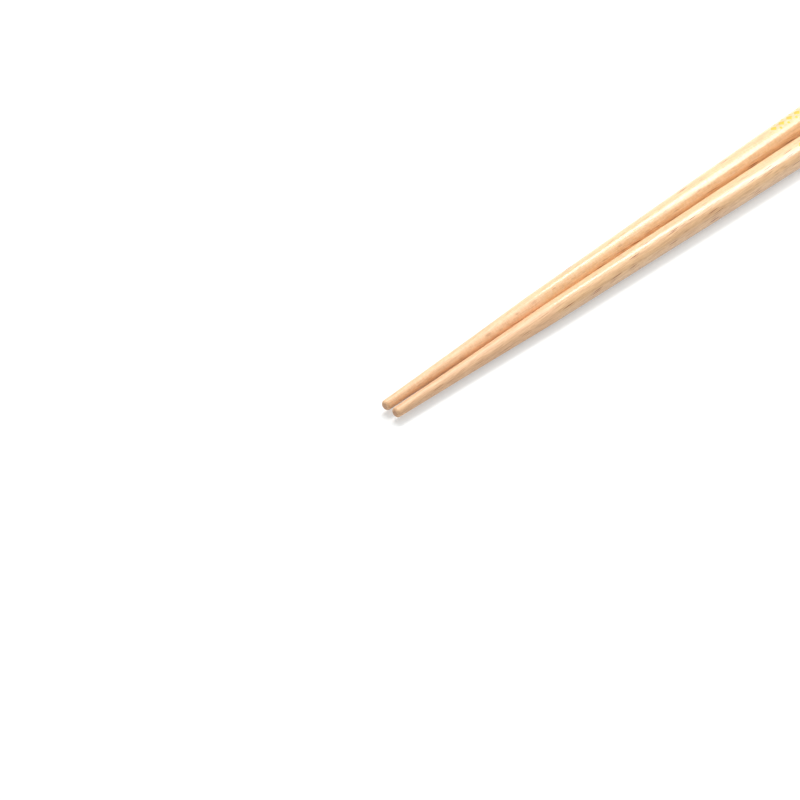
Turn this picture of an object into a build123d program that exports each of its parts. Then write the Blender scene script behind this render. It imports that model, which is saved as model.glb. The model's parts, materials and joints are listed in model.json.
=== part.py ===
from build123d import *
from math import atan2, cos, radians, sin
import os

# A pair of turned wooden chopsticks, lying side by side on a table as if just put down.
# Frame: +X runs from the tips to the butts, +Z is up, and Z = 0 is the table. The origin is on the
# table under the middle of the pair. Left is the +Y side. Sizes are in millimetres.

# The turned shape: three tapers, with stations counted along the stick from its tip
length = 225.0
knee_station = 50.0  # where the slim tip ends
grip_station = 110.0  # where the handle's taper turns gentler
tip_diameter = 2.45
knee_diameter = 4.87
grip_diameter = 6.3
butt_diameter = 8.1
tip_hollow = 0.07  # how far the slim tip's side bows in from a straight taper
tip_rim = 0.7  # radii that round the ends and soften the two turns of the taper
knee_blend = 400.0
grip_blend = 1500.0
butt_rim = 1.2

# How the two lie together
splay = 1.8  # degrees between the two sticks
clearance = 0.03  # between the two knees, where the sticks come nearest

tip_corner = (0.0, tip_diameter / 2)
knee_corner = (knee_station, knee_diameter / 2)
grip_corner = (grip_station, grip_diameter / 2)
butt_corner = (length, butt_diameter / 2)
roundings = (
    (tip_corner, tip_rim),
    (knee_corner, knee_blend),
    (grip_corner, grip_blend),
    (butt_corner, butt_rim),
)


def half_section(plane):
    """Half of a stick's long section, with X along the stick from its tip and Y out from its axis."""
    with BuildSketch(plane) as section:
        with BuildLine():
            SagittaArc(tip_corner, knee_corner, -tip_hollow)
            Polyline(knee_corner, grip_corner, butt_corner, (length, 0), (0, 0), tip_corner)
        make_face()
        for corner, radius in roundings:
            fillet(section.vertices().sort_by_distance(corner)[0], radius)
    return section.sketch


# Each stick lies on the underside of its gentlest taper, which has the centre of mass above it.
# That line is level, so the axis rises towards the butt and the slim tip stands clear of the table.
pitch = atan2(butt_diameter - grip_diameter, 2 * (length - grip_station))
half_splay = radians(splay / 2)


def stick_plane(side):
    """Plane of a stick's long section as it lies: origin at its tip, X along it, and Y upwards."""
    along = Vector(cos(pitch) * cos(half_splay), side * cos(pitch) * sin(half_splay), sin(pitch))
    knee_offset = side * (knee_diameter + clearance) / 2
    grip_height = grip_diameter / 2 * cos(pitch)
    tip = Vector(
        -along.X * length / 2,
        knee_offset - along.Y * knee_station,
        grip_height - along.Z * grip_station,
    )
    return Plane(origin=tip, x_dir=along, z_dir=(side * sin(half_splay), -cos(half_splay), 0))


os.makedirs("parts", exist_ok=True)
for name, side in (("left_chopstick", 1), ("right_chopstick", -1)):
    plane = stick_plane(side)
    with BuildPart() as chopstick:
        revolve(half_section(plane), axis=Axis(plane.origin, plane.x_dir))
    chopstick.part.label = name
    export_step(chopstick.part, f"parts/{name}.step")
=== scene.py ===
# %% [markdown]
# # A pair of turned beech chopsticks
#
# This lesson dresses a CAD model of two wooden chopsticks, so that a render looks like a studio
# photograph of them. The CAD model fixes where each stick lies and how long it is. The lesson then
# turns each stick again as a finer mesh, gives it the grain of beech, a coat of clear lacquer that
# stops short of the tip, and a small gold ornament on the handle.
#
# The first cell loads the CAD model as a frame that never moves. Everything is in metres, Z is up
# and the table is at Z = 0.

# %% Load the frame
import json
from math import asin, atan2, cos, degrees, hypot, pi, radians, sin, tau

import bpy
from mathutils import Euler, Matrix, Vector


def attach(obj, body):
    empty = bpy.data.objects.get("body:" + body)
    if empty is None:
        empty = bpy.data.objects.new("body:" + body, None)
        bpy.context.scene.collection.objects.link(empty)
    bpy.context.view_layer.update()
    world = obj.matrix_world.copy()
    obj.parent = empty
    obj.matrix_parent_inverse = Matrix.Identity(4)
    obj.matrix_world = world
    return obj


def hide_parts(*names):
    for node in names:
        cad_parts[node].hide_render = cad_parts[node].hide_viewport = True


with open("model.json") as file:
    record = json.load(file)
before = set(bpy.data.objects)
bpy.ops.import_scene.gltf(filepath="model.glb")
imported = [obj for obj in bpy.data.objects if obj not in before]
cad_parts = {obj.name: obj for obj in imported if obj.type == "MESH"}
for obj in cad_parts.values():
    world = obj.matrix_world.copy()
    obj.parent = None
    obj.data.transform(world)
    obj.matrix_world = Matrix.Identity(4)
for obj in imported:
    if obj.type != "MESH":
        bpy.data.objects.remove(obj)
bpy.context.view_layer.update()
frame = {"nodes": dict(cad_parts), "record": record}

print("nodes:", sorted(frame["nodes"]))

# %% [markdown]
# ## Where the sticks lie
#
# The packed record names the flat end of each stick as a mount, and says where its middle is. Two
# ends fix a stick completely, because a turned stick looks the same from all round its axis.
# Reading them here keeps the finer sticks exactly where the CAD sticks are.

# %% Read the ends of each stick
millimetre = 0.001
pair = ("left", "right")
mounts = {mount["name"]: Vector(mount["pos_m"]) for mount in frame["record"]["mounts"]}
tips = {side: mounts[f"{side}_tip_end"] for side in pair}
butts = {side: mounts[f"{side}_butt_end"] for side in pair}
length = (butts["left"] - tips["left"]).length


def lying_turn(side):
    """The turn that takes a stick from along +X to the way it lies."""
    along = (butts[side] - tips[side]).normalized()
    return Euler((0, -asin(along.z), atan2(along.y, along.x)))


for side in pair:
    print(side, "stick rises", round(-degrees(lying_turn(side).y), 3), "degrees towards its butt")
print("length, mm:", round(length / millimetre, 2))

# %% [markdown]
# ## The camera
#
# The photograph looks down at the tips from the front right, with a long lens: the sticks run away
# from the camera and out of the picture, and hardly shrink on the way. A camera is fixed by the
# point it looks at, its direction, its distance and its lens. The lens follows from how large one
# metre at that point is in the picture, so the distance can change without the framing.

# %% Place the camera
picture_size = 800  # pixels
aim = Vector((-106.669, 2.585, 0.0)) * millimetre  # on the table, just beside the tips
camera_distance = 0.7
camera_rise = radians(41.873)
camera_turn = radians(44.451)  # from +Y towards +X, which is the way that the camera looks
pixels_per_metre = 4421.0  # at the point it looks at

camera_data = bpy.data.cameras.new("camera")
camera = bpy.data.objects.new("camera", camera_data)
bpy.context.scene.collection.objects.link(camera)
bpy.context.scene.camera = camera
backwards = Vector((
    -sin(camera_turn) * cos(camera_rise),
    -cos(camera_turn) * cos(camera_rise),
    sin(camera_rise),
))
camera.location = aim + backwards * camera_distance
camera.rotation_euler = (-backwards).to_track_quat("-Z", "Y").to_euler()
camera_data.sensor_width = 36.0
camera_data.lens = pixels_per_metre * camera_distance / picture_size * camera_data.sensor_width
camera_data.clip_start = 0.01
camera_data.clip_end = 20.0
print("lens, mm:", round(camera_data.lens, 1))

# %% [markdown]
# ## The shader helpers
#
# A material's nodes are easier to read as sums than as a web of links. Two small classes make that
# possible. `Finish` holds the nodes of one material, or of the world, and its method `node` adds a
# node of any type: the node's settings are given first, and then the values or fields of its
# sockets. What it returns is a field, which is one output of that node.

# %% Hold the nodes of one finish
class Finish:
    """A material's or a world's nodes, empty at first, to which fields are added."""

    def __init__(self, owner):
        self.owner = owner
        self.owner.use_nodes = True
        self.tree = self.owner.node_tree
        self.tree.nodes.clear()

    def node(self, kind, settings=None, sockets=None, output=0):
        """Adds a node, sets its settings and then its sockets, and returns the output asked for."""
        node = self.tree.nodes.new(kind)
        for setting, value in (settings or {}).items():
            setattr(node, setting, value)
        for socket, value in (sockets or {}).items():
            if isinstance(value, Field):
                self.tree.links.new(value.socket, node.inputs[socket])
            else:
                node.inputs[socket].default_value = value
        return Field(self, node.outputs[output]) if node.outputs else None

    def sees_background(self):
        """1 for the rays that see the background: from the camera, or by way of a gloss or glass."""
        kinds = ("Is Camera Ray", "Is Glossy Ray", "Is Transmission Ray")
        camera_ray, glossy_ray, passing_ray = [
            self.node("ShaderNodeLightPath", None, None, kind) for kind in kinds
        ]
        return camera_ray.most(glossy_ray).most(passing_ray)


print("a finish can:", [name for name in vars(Finish) if not name.startswith("_")])

# %% [markdown]
# `Field` wraps that output, a number, a colour or a vector that changes over the surface. It
# overloads the operators, so that `1 - mask` adds the Math nodes for it. Only numbers go through
# the operators, because a Math node turns a colour grey.

# %% Do sums with fields
class Field:
    """A number, colour or vector that changes over the surface. Operators add Math nodes."""

    def __init__(self, finish, socket):
        self.finish = finish
        self.socket = socket

    def maths(self, operation, *others):
        sockets = dict(enumerate((self, *others)))
        return self.finish.node("ShaderNodeMath", {"operation": operation}, sockets)

    def __add__(self, other):
        return self.maths("ADD", other)

    def __mul__(self, other):
        return self.maths("MULTIPLY", other)

    def __sub__(self, other):
        return self.maths("SUBTRACT", other)

    def __truediv__(self, other):
        return self.maths("DIVIDE", other)

    def __pow__(self, other):
        return self.maths("POWER", other)

    def __rsub__(self, other):
        return (self * -1.0) + other

    __radd__ = __add__
    __rmul__ = __mul__

    def least(self, other):
        return self.maths("MINIMUM", other)

    def most(self, other):
        return self.maths("MAXIMUM", other)

    def size(self):
        return self.maths("ABSOLUTE")

    def fraction(self):
        return self.maths("FRACT")

    def step(self, start, end):
        """Rises smoothly from 0 where the field is at start to 1 where it is at end."""
        sockets = {"Value": self, "From Min": start, "From Max": end}
        return self.finish.node("ShaderNodeMapRange", {"interpolation_type": "SMOOTHSTEP"}, sockets)

    def part(self, axis):
        """One coordinate of a vector."""
        return self.finish.node("ShaderNodeSeparateXYZ", None, {"Vector": self}, axis)

    def stretched(self, *factors):
        """A vector with each coordinate multiplied."""
        sockets = {0: self, 1: factors}
        return self.finish.node("ShaderNodeVectorMath", {"operation": "MULTIPLY"}, sockets)

    def moved(self, *steps):
        """A vector with a step added to each coordinate."""
        sockets = {0: self, 1: steps}
        return self.finish.node("ShaderNodeVectorMath", {"operation": "ADD"}, sockets)


print("a field can:", [name for name in vars(Field) if not name.startswith("_")])

# %% [markdown]
# ## The table
#
# The photograph's ground is pure white, with only a soft grey shadow along the sticks. The wood's
# lower side is fairly dark, so little light comes back up from the ground. A light grey floor gives
# both: under lamps at a plain level it sends back two thirds of the light, and a glow that only the
# camera and a gloss see lifts it to white and keeps the shadow, without lighting the wood. Far from
# the sticks, where the lamps hardly reach and no shadow falls, the glow rises to white by itself.

# %% Make the white table
floor_colour = (0.645, 0.643, 0.632, 1.0)
floor_glow = 0.4  # near the sticks, where 1 is white
glow_colour = (0.93, 0.98, 1.0, 1.0)  # a little cool, as the photograph's shadow is
glow_rises = (0.3, 0.7)  # metres from the middle of the sticks
floor_half_size = 3.0

bpy.ops.object.select_all(action="DESELECT")
bpy.ops.mesh.primitive_plane_add(size=2 * floor_half_size, location=(0, 0, 0))
floor = bpy.context.active_object
floor.name = "table"

table_white = Finish(bpy.data.materials.new("table_white"))
paper = table_white.node("ShaderNodeBsdfDiffuse", None, {"Color": floor_colour})
place = table_white.node("ShaderNodeTexCoord", None, None, "Object")
distance = table_white.node("ShaderNodeVectorMath", {"operation": "LENGTH"}, {0: place}, "Value")
far_away = distance.step(*glow_rises)
seen_white = table_white.sees_background() * (far_away * (1 - floor_glow) + floor_glow)
glow = table_white.node("ShaderNodeEmission", None, {"Color": glow_colour, "Strength": seen_white})
both = table_white.node("ShaderNodeAddShader", None, {0: paper, 1: glow})
table_white.node("ShaderNodeOutputMaterial", None, {"Surface": both})
floor.data.materials.append(table_white.owner)
print("table nodes:", len(table_white.tree.nodes))

# %% [markdown]
# ## The light
#
# Three things light the sticks. A white room gives some light from all round, and is the world
# here. A wide diffuser above and behind gives most of it, and throws the soft shadow. One long
# softbox hangs across the sticks, and draws the white streak along the lacquer. The streak wanders
# round the handle because that softbox is near and lies askew to the sticks. A gloss shows the room
# itself: white behind the sticks, which pales their upper edge, and darker behind the camera.

# %% Hang the lamps
softbox_middle = Vector((298.0, 14.0, 400.0)) * millimetre
softbox_sides = (0.48, 0.08)
softbox_turn = radians(-72.0)
softbox_watts = 1.5
diffuser_middle = Vector((170.0, 370.0, 850.0)) * millimetre
diffuser_sides = (0.55, 0.35)
diffuser_turn = 0.0
diffuser_watts = 6.6


def hang_lamp(name, middle, sides, turn, watts):
    """A rectangular lamp that faces straight down, its long side turned from +X."""
    lamp = bpy.data.objects.new(name, bpy.data.lights.new(name, "AREA"))
    bpy.context.scene.collection.objects.link(lamp)
    lamp.data.shape = "RECTANGLE"
    lamp.data.size, lamp.data.size_y = sides
    lamp.data.energy = watts
    lamp.location = middle
    lamp.rotation_euler = (0, 0, turn)
    print(name, "of", watts, "W, hung at", round(middle.z, 2), "m")


hang_lamp("softbox", softbox_middle, softbox_sides, softbox_turn, softbox_watts)
hang_lamp("diffuser", diffuser_middle, diffuser_sides, diffuser_turn, diffuser_watts)

# %% Light the room
room_light = 0.53  # what the room gives the sticks, where 1 is white
room_front = 0.35  # how bright the room looks in a gloss, behind the camera
room_back = 1.0  # and behind the sticks
room_turns = (-0.6, 0.5)  # where it changes, from -1 behind the camera to 1 behind the sticks
white = (1.0, 1.0, 1.0, 1.0)

room = Finish(bpy.data.worlds.new("white_room"))
bpy.context.scene.world = room.owner
direction = room.node("ShaderNodeTexCoord", None, None, "Generated")
seen_room = direction.part(1).step(*room_turns) * (room_back - room_front) + room_front
seen = room.sees_background()
strength = seen * seen_room + (1 - seen) * room_light
background = room.node("ShaderNodeBackground", None, {"Color": white, "Strength": strength})
room.node("ShaderNodeOutputWorld", None, {"Surface": background})
bpy.context.scene.view_settings.view_transform = "Standard"
print("room nodes:", len(room.tree.nodes))

# %% [markdown]
# ## The turned shape
#
# A chopstick is turned on a lathe, so one outline says all of its shape: a slim hollow tip, a
# middle taper, and a handle that thickens slowly. The outline is written as a function of the
# distance from the tip. Where two tapers meet, the turner leaves no ridge, so the corner is
# rounded over a few millimetres.

# %% Describe the outline
knee_station = 50.0 * millimetre
grip_station = 110.0 * millimetre
tip_radius = 1.225 * millimetre
knee_radius = 2.435 * millimetre
grip_radius = 3.15 * millimetre
butt_radius = 4.05 * millimetre
tip_hollow = 0.07 * millimetre
corner_reach = 3.2 * millimetre  # how far each way a corner of the outline is rounded
corner_samples = 9


def straight_outline(station):
    """Radius of the three tapers, with corners where they meet."""
    if station < knee_station:
        share = station / knee_station
        straight = tip_radius + (knee_radius - tip_radius) * share
        return straight - 4 * tip_hollow * share * (1 - share)
    if station < grip_station:
        share = (station - knee_station) / (grip_station - knee_station)
        return knee_radius + (grip_radius - knee_radius) * share
    share = (station - grip_station) / (length - grip_station)
    return grip_radius + (butt_radius - grip_radius) * share


def outline(station):
    """Radius of the stick, with the two corners rounded by a mean over the outline beside them."""
    reach = min(corner_reach, station, length - station)
    steps = [reach * (2 * i / (corner_samples - 1) - 1) for i in range(corner_samples)]
    return sum(straight_outline(station + step) for step in steps) / corner_samples


for station in (0.0, knee_station, grip_station, length):
    diameter = 2 * outline(station) / millimetre
    print(round(station / millimetre), "mm from the tip, diameter", round(diameter, 3), "mm")

# %% [markdown]
# ## Turning a stick
#
# Any round bar could be a scaled cylinder, but a cylinder has no outline. Here a disc stands at the
# tip, and is extruded forward and resized again and again, as a lathe tool would travel, until it
# reaches the butt. The rims of both flat ends are then beveled, so that they catch light as sanded
# wood does. The stick is made along X first and then laid where the frame has it.

# %% Turn one stick along X
sides_around = 96
ring_spacing = 5.0 * millimetre
tip_rim = 0.7 * millimetre
butt_rim = 1.2 * millimetre
rim_steps = 5  # faces across the rounding of a rim
flat_end = 0.99  # a flat end's normal has more than this along the axis


def select_flat_end(stick, way):
    """Selects, in edit mode, the flat end that faces +X where way is 1, and -X where it is -1."""
    bpy.ops.mesh.select_all(action="DESELECT")
    bpy.ops.object.mode_set(mode="OBJECT")
    for face in stick.data.polygons:
        face.select = face.normal.x * way > flat_end
    bpy.ops.object.mode_set(mode="EDIT")


def turn_stick(name):
    """A closed turned stick along +X, with its tip at the origin."""
    bpy.ops.object.select_all(action="DESELECT")
    bpy.ops.mesh.primitive_circle_add(
        vertices=sides_around,
        radius=tip_radius,
        fill_type="NGON",
        rotation=(0, radians(90), 0),
        calc_uvs=False,
    )
    stick = bpy.context.active_object
    stick.name = name
    bpy.ops.object.transform_apply(location=True, rotation=True, scale=True)
    bpy.ops.object.mode_set(mode="EDIT")
    bpy.ops.mesh.select_all(action="SELECT")
    rings = round(length / ring_spacing)
    radius = tip_radius
    for ring in range(1, rings + 1):
        bpy.ops.mesh.extrude_region_move(
            TRANSFORM_OT_translate={"value": (length / rings, 0, 0), "orient_type": "GLOBAL"}
        )
        wanted = outline(length * ring / rings)
        factor = wanted / radius
        bpy.ops.transform.resize(value=(1, factor, factor), orient_type="GLOBAL")
        radius = wanted
    for rim, way in ((tip_rim, -1), (butt_rim, 1)):
        select_flat_end(stick, way)
        bpy.ops.mesh.bevel(
            offset=rim, segments=rim_steps, profile=0.5, affect="EDGES", clamp_overlap=True
        )
    bpy.ops.mesh.select_all(action="SELECT")
    bpy.ops.mesh.normals_make_consistent(inside=False)
    bpy.ops.object.mode_set(mode="OBJECT")
    return stick


trial = turn_stick("trial_stick")
print("faces:", len(trial.data.polygons))
print("size, mm:", [round(v / millimetre, 2) for v in trial.dimensions])

# %% [markdown]
# An exported stick carries its finish as pictures, so every face needs a place of its own in a flat
# square. A long stick would fill a square badly, so its side is unrolled as three strips, one above
# the other, and the two ends lie above them.

# %% Unroll a stick
strips = 3
strip_length = length / strips
margin = 1.0 * millimetre
square = 78.0 * millimetre
end_slope = 0.7  # a face belongs to an end if its normal has more than this along the axis


def unroll(stick):
    """Gives each face of a stick along +X its place in the square, and returns the height filled."""
    mesh = stick.data
    places = mesh.uv_layers.new(name="OFBake").data
    middles = []
    top = margin
    for strip in range(strips):
        half_height = pi * outline(strip_length * (strip + 1))
        middles.append(top + half_height)
        top += 2 * half_height + margin
    ends_middle = top + butt_radius
    for face in mesh.polygons:
        strip = min(int(face.center.x / strip_length), strips - 1)
        face_turn = atan2(face.center.z, face.center.y)
        for corner in face.loop_indices:
            x, y, z = mesh.vertices[mesh.loops[corner].vertex_index].co
            if face.normal.x > end_slope:
                u, v = margin + butt_radius + y, ends_middle + z
            elif face.normal.x < -end_slope:
                u, v = 3 * margin + 2 * butt_radius + tip_radius - y, ends_middle + z
            else:
                turn = atan2(z, y)
                turn += tau * round((face_turn - turn) / tau)
                u, v = margin + x - strip * strip_length, middles[strip] - turn * hypot(y, z)
            places[corner].uv = (u / square, v / square)
    return top + 2 * butt_radius


print("the strips and ends fill", round(unroll(trial) / square, 3), "of the square's height")
bpy.data.objects.remove(trial)

# %% [markdown]
# ## Laying the sticks on the table
#
# The stick is turned to its direction and moved to its tip, and then that place is applied to the
# mesh, so that the object itself stays at the origin as the CAD nodes do. It rides on the frame's
# body, and stands for the CAD node, which is no longer shown.

# %% Lay both sticks
crease = radians(50)  # the least angle between two faces that is shaded as an edge

sticks = {}
for side in pair:
    stick = turn_stick(f"{side}_turned_stick")
    unroll(stick)
    stick.rotation_euler = lying_turn(side)
    stick.location = tips[side]
    bpy.ops.object.select_all(action="DESELECT")
    stick.select_set(True)
    bpy.context.view_layer.objects.active = stick
    bpy.ops.object.transform_apply(location=True, rotation=True, scale=True)
    bpy.ops.object.shade_smooth_by_angle(angle=crease)
    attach(stick, "root")
    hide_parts(f"{side}_chopstick")
    sticks[side] = stick
    lowest = min(vertex.co.z for vertex in stick.data.vertices)
    print(side, "lowest point, mm:", round(lowest / millimetre, 4))

# %% [markdown]
# ## Beech
#
# Beech is pale and even, with a few kinds of mark. Rays are thin sheets of cells that run from the
# bark to the heart: on the side that faces the bark they show as short dark flecks along the grain,
# and on the side at right angles to it as a mottle. Fine fibres and tiny pores run everywhere, and
# wide bands of them are a little darker. All of these belong to the wood and not to its surface, so
# they are made as a solid texture, in coordinates that are turned with the grain of each stick.

# %% Turn the coordinates to the stick and to its grain
grain_slant = radians(2.0)  # between the grain and the stick's axis
grain_rolls = {"left": radians(30), "right": radians(142)}  # how far round each stick the bark lay


def stick_coordinates(finish, side, roll=0.0, slant=0.0):
    """Millimetres along the stick from its tip, and across it, rolled about its axis."""
    turn = lying_turn(side).to_matrix() @ Matrix.Rotation(roll, 3, "X") @ Matrix.Rotation(slant, 3, "Y")
    sockets = {
        "Vector": finish.node("ShaderNodeTexCoord", None, None, "Object"),
        "Location": tips[side],
        "Rotation": turn.to_euler(),
        "Scale": (millimetre, millimetre, millimetre),
    }
    return finish.node("ShaderNodeMapping", {"vector_type": "TEXTURE"}, sockets)


print("grain rolled by", [round(degrees(roll)) for roll in grain_rolls.values()], "degrees")

# %% [markdown]
# The rays come from a Voronoi texture in stretched space: each cell is long with the grain, longer
# still towards the heart, and very thin across, so the middle of a cell is a thin lens. Only some
# cells hold a ray that is dark enough to see. A lens shows as a short fleck only where the surface
# faces the bark, so a second mask says where that is, and the mottle gets the rest. The mottle, the
# fibres and the bands are noise in the same stretched space.

# %% Make the rays and the mask for them
choice_edge = 0.02  # keeps the choice of cells a smooth step
ray_sizes = (0.6, 1.1)  # the smallest and the largest, as a share of the spread
ray_core = 0.45  # the share of a ray that is fully dark
bark_shows = (0.15, 0.6)  # from no flecks to full ones, as the surface turns to the bark


def rays(grain, cell, spread, share):
    """Lens-shaped marks: 1 inside. Cell is a cell's size in mm, spread a lens's share of it."""
    sockets = {"Vector": grain.stretched(*[1 / size for size in cell]), "Scale": 1.0}
    distance = grain.finish.node("ShaderNodeTexVoronoi", None, sockets, "Distance")
    colour = grain.finish.node("ShaderNodeTexVoronoi", None, sockets, "Color")
    chosen = colour.part(0).step(1 - share - choice_edge, 1 - share + choice_edge)
    size = colour.part(1) * (ray_sizes[1] - ray_sizes[0]) + ray_sizes[0]
    lens = 1 - (distance / size).step(spread * ray_core, spread)
    return lens * chosen


def facing_bark(grain):
    """1 where the surface faces the bark or the heart, 0 where it is at right angles to that."""
    outward = grain.part(1) ** 2.0
    across = grain.part(2) ** 2.0
    return (outward / (outward + across)).step(*bark_shows)


print("a ray's size goes from", ray_sizes[0], "to", ray_sizes[1], "of its spread")

# %% Make the mottle, the fibres and the bands
cloud_roughness = 0.6  # how strong each finer layer of a cloud is beside the one before


def noise(vector, detail, roughness, scale=1.0):
    """Soft random clouds from 0 to 1, as large as the vector's unit over scale."""
    sockets = {"Vector": vector, "Scale": scale, "Detail": detail, "Roughness": roughness}
    return vector.finish.node("ShaderNodeTexNoise", {"noise_dimensions": "3D"}, sockets)


def clouds(grain, cell, detail=3.0):
    """Soft patches around 0, as large as a cell in mm."""
    return noise(grain.stretched(*[1 / size for size in cell]), detail, cloud_roughness) - 0.5


print("each finer layer of a cloud is", cloud_roughness, "as strong")

# %% [markdown]
# ## Lacquer
#
# The handle was dipped in clear lacquer, and the first fifth was left bare for the food. Lacquer
# fills the pores, deepens the colour and shines. Its edge is soft and blotchy, because it soaks
# into the end of the dip unevenly, and a few dry specks are left just behind it.

# %% Make the lacquer's mask
lacquer_start = 50.0  # mm from the tip
lacquer_fades = (-0.8, 1.6)  # mm, from bare wood before the start to full lacquer behind it
lacquer_wander = 7.0  # mm, how far the blotches move the edge
blotches_per_mm = 1.1
blotch_detail = 3.0
blotch_roughness = 0.65


def lacquer_coat(stick):
    """1 where the lacquer covers the wood, 0 where the wood is bare."""
    distance = stick.part(0)
    blotches = noise(stick, blotch_detail, blotch_roughness, blotches_per_mm) - 0.5
    return (distance - lacquer_start + blotches * lacquer_wander).step(*lacquer_fades)


print("lacquer from", lacquer_start, "mm to the butt, at", round(length / millimetre), "mm")

# %% [markdown]
# ## The gold ornament
#
# Such handles carry a small gold print. This one is a plain chain of lozenges with a pair of dots
# between each two. It is a thin print, so it is a mask in the shader, and not a shape of its own.

# %% Make the ornament's mask
first_lozenge = 137.0  # mm from the tip, as all lengths in this cell
lozenges = 15
lozenge_pitch = 3.0
lozenge_half_length = 1.06
lozenge_half_height = 0.9
dot_radius = 0.38
dot_offset = 1.2
handle_radius = 3.53  # where the ornament is
gold_fades = (0.9, 1.1)  # as a share of the size of a lozenge or a dot
chain_cut = 0.02
chain_middle = first_lozenge + (lozenges - 1) / 2 * lozenge_pitch
half_chain = (lozenges - 1) / 2 * lozenge_pitch + lozenge_half_length


def gold_ornament(stick, facing):
    """1 on the gold. Facing is the angle round the stick that the ornament is centred on."""
    sockets = {0: stick.part(2), 1: stick.part(1)}
    turn = stick.finish.node("ShaderNodeMath", {"operation": "ARCTAN2"}, sockets)
    across = (turn - facing) * handle_radius
    distance = stick.part(0)
    along = (((distance - first_lozenge) / lozenge_pitch + 0.5).fraction() - 0.5) * lozenge_pitch
    lozenge = along.size() / lozenge_half_length + across.size() / lozenge_half_height
    beside = lozenge_pitch / 2 - along.size()
    above = across.size() - dot_offset
    dot = (beside * beside + above * above) ** 0.5 / dot_radius
    shape = lozenge.least(dot)
    beyond = (distance - chain_middle).size().step(half_chain, half_chain + chain_cut)
    return (1 - shape.step(*gold_fades)) * (1 - beyond)


chain_ends = [round(chain_middle + way * half_chain, 2) for way in (-1, 1)]
print("ornament from", chain_ends[0], "to", chain_ends[1], "mm from the tip")

# %% [markdown]
# ## The colours
#
# Each colour is written as the photograph's 0 to 255, where it is easiest to judge, and turned into
# linear light. Bare and lacquered wood have a set each: the wood, the warm patches of its mottle and
# its dark marks. Between two colours, a mask decides how much of each is seen.

# %% Mix the colours
def linear(red, green, blue):
    """A colour written as the photograph's 0 to 255, in the linear light that Blender works in."""
    levels = [value / 255 for value in (red, green, blue)]
    light = [v / 12.92 if v <= 0.04045 else ((v + 0.055) / 1.055) ** 2.4 for v in levels]
    return (*light, 1.0)


def blend_colour(share, first, second):
    """The first colour where share is 0 and the second where it is 1."""
    sockets = {0: share, 6: first, 7: second}
    return share.finish.node("ShaderNodeMix", {"data_type": "RGBA"}, sockets, output=2)


bare_wood = linear(246, 203, 160)
bare_warm = linear(236, 182, 132)
bare_dark = linear(156, 92, 52)
lacquered_wood = linear(242, 200, 151)
lacquered_warm = linear(234, 179, 116)
lacquered_dark = linear(146, 70, 28)
# the end grain's own darker tone, with painted shade added for an end that faces away from the lamps
end_grain_and_shade = linear(168, 112, 82)
gold = linear(220, 172, 34)
print("lacquered wood in linear light:", [round(v, 3) for v in lacquered_wood[:3]])

# %% [markdown]
# ## The grain's tone
#
# The dark marks of the grain add up to one number, the tone, which says how far the wood is
# darkened at a point. The mottle is warmer rather than darker, so it has a mask of its own. The
# sizes are those of beech, in millimetres along the grain, towards the heart and across. Lacquer
# makes the flecks darker, and each stick has a shade of its own, as two sticks of one pair do.

# %% Sum up the marks of the grain
mottle_cell = (0.6, 1.2, 0.45)
mottle_gain = 2.0
mottle_base = 0.25
mottle_hidden = 0.7  # how much of the mottle is gone where the flecks show
fibre_cell = (4.0, 0.25, 0.25)
line_cell = (5.0, 0.6, 0.4)
band_cell = (28.0, 1.6, 1.6)
broad_detail = 2.0  # of the lines and the bands
pore_cell = (3.2, 0.9, 0.24)
pore_spread = 0.5
pore_share = 0.3
pore_move = (31.0, 17.0, 5.0)  # so that the pores lie apart from the flecks
fleck_cell = (7.0, 7.0, 0.28)
fleck_spread = 0.44
fleck_share = 0.36
fibre_depth = 0.75  # how far each mark darkens the wood
line_depth = 0.6
band_depth = 0.35
pore_depth = 0.22
fleck_depths = (0.55, 0.9)  # on bare wood and on lacquered wood
shades = {"left": 0.08, "right": 0.15}  # how far each stick is darkened all over


def mottle_share(grain, flat):
    """How warm the wood is at a point, from 0 to 1. Flat is 1 where the flecks show."""
    mottle = clouds(grain, mottle_cell) * mottle_gain + mottle_base
    return mottle.most(0.0).least(1.0) * (1 - flat * mottle_hidden)


def grain_tone(grain, flat, coat, fibres, flecks):
    """How far the grain darkens the wood, as a number around 0."""
    lines = clouds(grain, line_cell, broad_detail) * flat
    bands = clouds(grain, band_cell, broad_detail)
    pores = rays(grain.moved(*pore_move), pore_cell, pore_spread, pore_share)
    fleck_depth = coat * (fleck_depths[1] - fleck_depths[0]) + fleck_depths[0]
    fine = fibres * fibre_depth + pores * pore_depth + flecks * fleck_depth
    return fine + lines * line_depth + bands * band_depth


print("a fleck is up to", round(2 * fleck_spread * ray_sizes[1] * fleck_cell[0], 1), "mm long")
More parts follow.
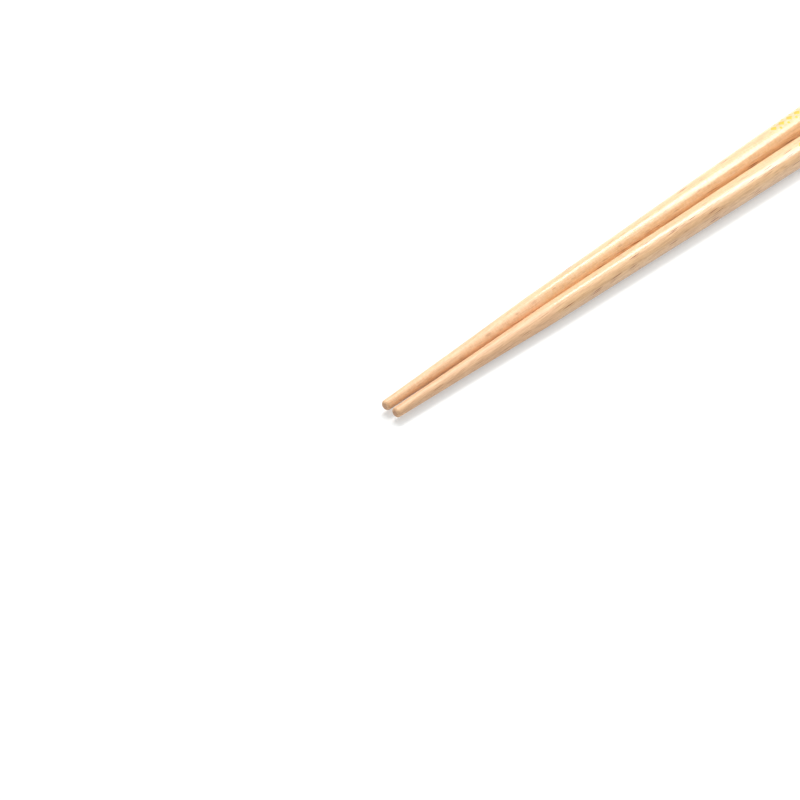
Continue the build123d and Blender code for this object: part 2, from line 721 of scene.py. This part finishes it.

# %% [markdown]
# ## The finished wood
#
# The lacquer is the shader's coat, a clear layer over the wood with a gloss of its own. The wood
# under it stays fairly dull, and its fibres raise the surface a little, so that the streak of light
# is not as straight as on glass. The flat of the tip is end grain, which is darker, and its colour
# also holds painted shade, as the end faces away from the lamps.

# %% Choose the gloss and the bumps
end_fades = (-0.02, 0.12)  # mm from the tip, from end grain with painted shade to plain wood
end_strength = 0.55
gold_metal = 0.4
wood_roughness = 0.42
coated_roughness = 0.54  # of the wood under the lacquer
lacquer_roughness = 0.17
bump_strength = 0.25
bump_height = 0.05 * millimetre
fleck_dip = 0.3  # how far a fleck sinks, beside the fibres' height
print("roughness:", wood_roughness, "bare,", lacquer_roughness, "lacquered")

# %% [markdown]
# One function makes the material of each stick. The two differ only in how the grain is turned,
# how dark the wood is and which way round the stick the ornament faces.

# %% Dress both sticks
ornament_facings = {"left": radians(80), "right": radians(105)}


def beech_finish(side):
    """The material of one stick."""
    finish = Finish(bpy.data.materials.new(f"{side}_lacquered_beech"))
    stick = stick_coordinates(finish, side)
    grain = stick_coordinates(finish, side, grain_rolls[side], grain_slant)
    flat = facing_bark(stick_coordinates(finish, side, grain_rolls[side]))
    coat = lacquer_coat(stick)
    fibres = clouds(grain, fibre_cell)
    flecks = rays(grain, fleck_cell, fleck_spread, fleck_share) * flat
    tone = grain_tone(grain, flat, coat, fibres, flecks) + shades[side]
    wood = blend_colour(coat, bare_wood, lacquered_wood)
    warm = blend_colour(coat, bare_warm, lacquered_warm)
    dark = blend_colour(coat, bare_dark, lacquered_dark)
    colour = blend_colour(mottle_share(grain, flat), wood, warm)
    colour = blend_colour(tone.most(0.0).least(1.0), colour, dark)
    # the tip's end face takes the end-grain colour, which also holds painted shade
    end = 1 - stick.part(0).step(*end_fades)
    colour = blend_colour(end * end_strength, colour, end_grain_and_shade)
    print_mask = gold_ornament(stick, ornament_facings[side])
    height = fibres - flecks * fleck_dip
    bumps = {"Height": height, "Strength": bump_strength, "Distance": bump_height}
    surface = {
        "Base Color": blend_colour(print_mask, colour, gold),
        "Metallic": print_mask * gold_metal,
        "Roughness": coat * (coated_roughness - wood_roughness) + wood_roughness,
        "Coat Weight": coat,
        "Coat Roughness": lacquer_roughness,
        "Normal": finish.node("ShaderNodeBump", None, bumps),
    }
    skin = finish.node("ShaderNodeBsdfPrincipled", None, surface)
    finish.node("ShaderNodeOutputMaterial", None, {"Surface": skin})
    return finish.owner


for side, stick in sticks.items():
    stick.data.materials.clear()
    stick.data.materials.append(beech_finish(side))
    print(side, "nodes:", len(stick.data.materials[0].node_tree.nodes))
